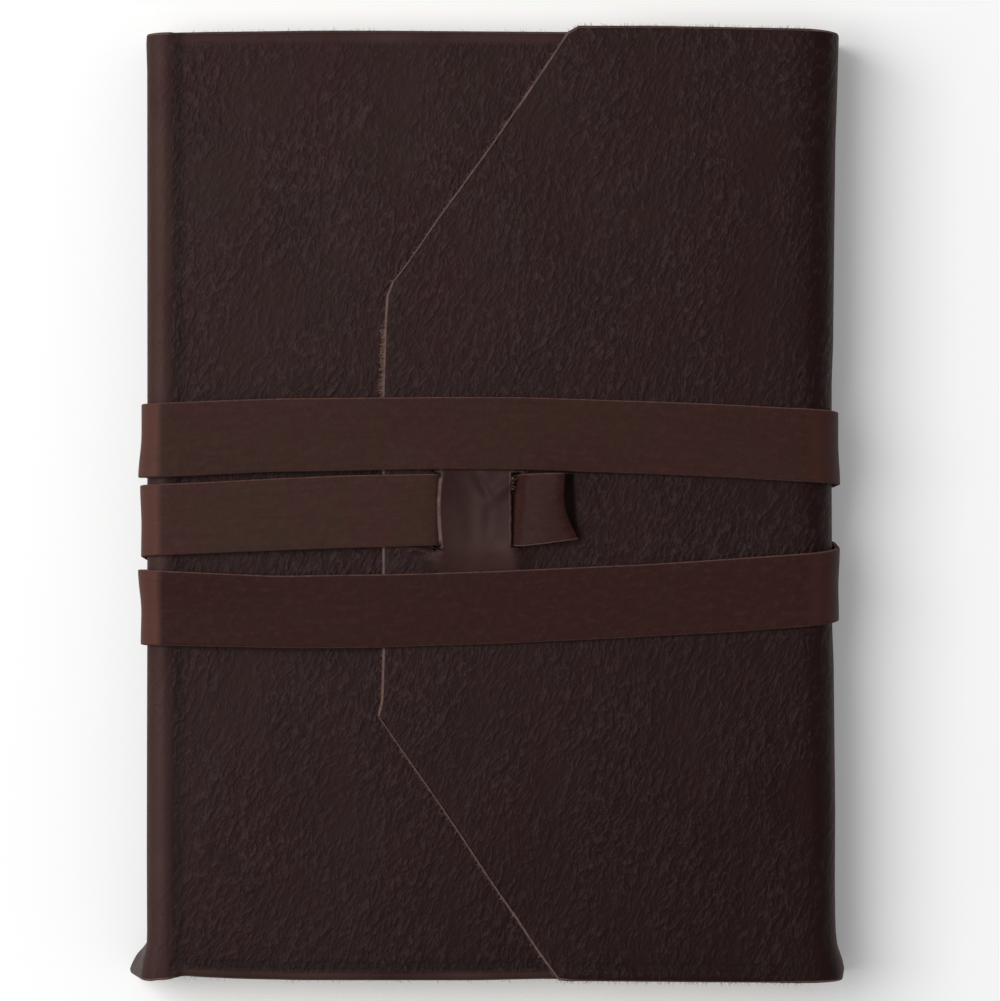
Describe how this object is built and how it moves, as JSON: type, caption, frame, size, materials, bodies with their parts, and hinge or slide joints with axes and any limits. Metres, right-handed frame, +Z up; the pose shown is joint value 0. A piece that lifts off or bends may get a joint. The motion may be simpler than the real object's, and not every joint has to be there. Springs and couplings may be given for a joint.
{
  "type": "leather wrap journal",
  "caption": "Soft leather journal with a pointed flap folded over the front, a strap laced under a slit bridge and wound round it, and a sewn page block inside.",
  "frame": {"origin": "on the table, under the middle of the closed journal's box, with the journal lying on its back", "axes": "+Y towards the head of the pages, +X from the spine to the fore edge, +Z up through the front"},
  "size_m": [0.1611, 0.2164, 0.0285],
  "materials": {
    "cover_leather": "dark brown pull-up leather, fine grain, satin",
    "strap_leather": "dark reddish brown leather, smooth, satin",
    "paper": "cream uncoated paper",
    "thread": "waxed linen thread",
    "lining_cloth": "open woven book cloth"
  },
  "bodies": {
    "root": {"leather_cover": "cover_leather", "wrap_strap": "strap_leather", "page_block": "paper", "sewing_thread": "thread", "spine_lining": "lining_cloth", "back_endpaper": "paper", "front_endpaper": "paper"}
  },
  "joints": []
}
